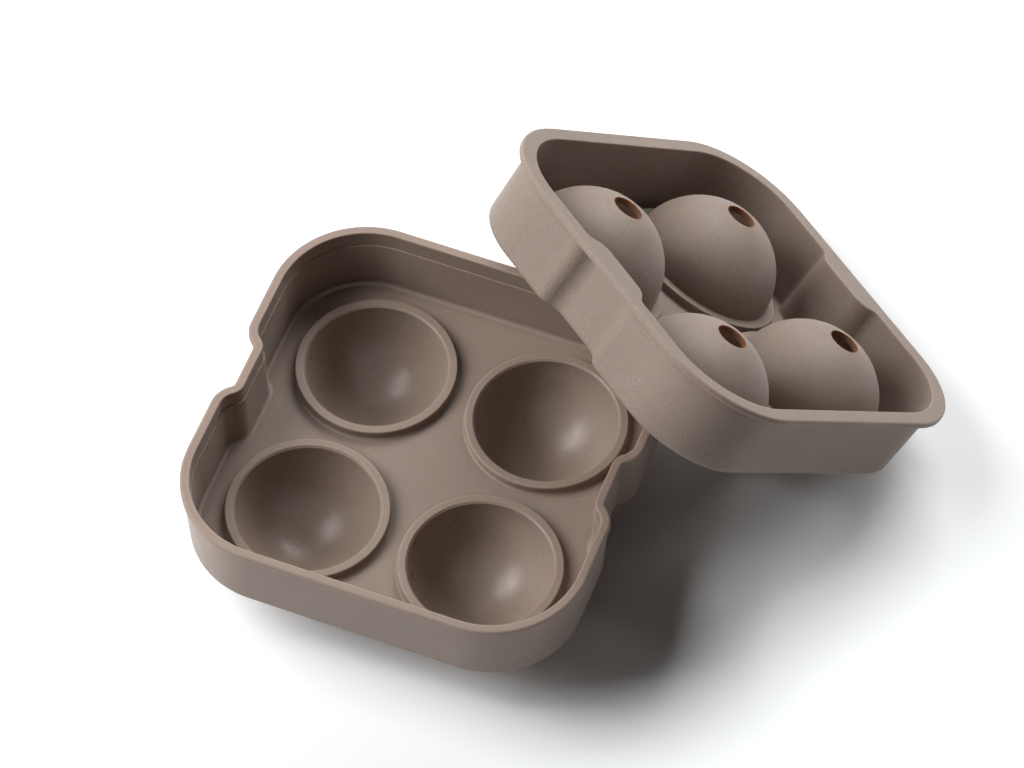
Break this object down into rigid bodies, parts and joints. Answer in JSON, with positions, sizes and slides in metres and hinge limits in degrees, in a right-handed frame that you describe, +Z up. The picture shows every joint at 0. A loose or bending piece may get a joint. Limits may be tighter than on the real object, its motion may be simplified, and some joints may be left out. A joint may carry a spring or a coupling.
{
  "type": "ice ball mold",
  "caption": "Square silicone ice ball mould: a base tray with round bowls and a lid with hollow domes and fill holes, shown open with the lid leaning on the tray.",
  "frame": {"origin": "middle of the base tray, on the plane of the four flats that its bowls stand on", "axes": "+Z up, out of the bowls; X across the tray between its two grip notches; -Y towards the tray's plain front wall"},
  "size_m": [0.2085, 0.2108, 0.0996],
  "materials": {
    "tray_silicone": "matte taupe silicone with a soft sheen",
    "lid_silicone": "matte taupe silicone with a soft sheen"
  },
  "bodies": {
    "tray": {"base_tray": "tray_silicone"},
    "lid": {"lid": "lid_silicone"}
  },
  "joints": [
    {"name": "lid_lift", "type": "slide", "parent": "tray", "child": "lid", "axis": [0, 0, 1], "range_m": [0, 0.1]}
  ]
}
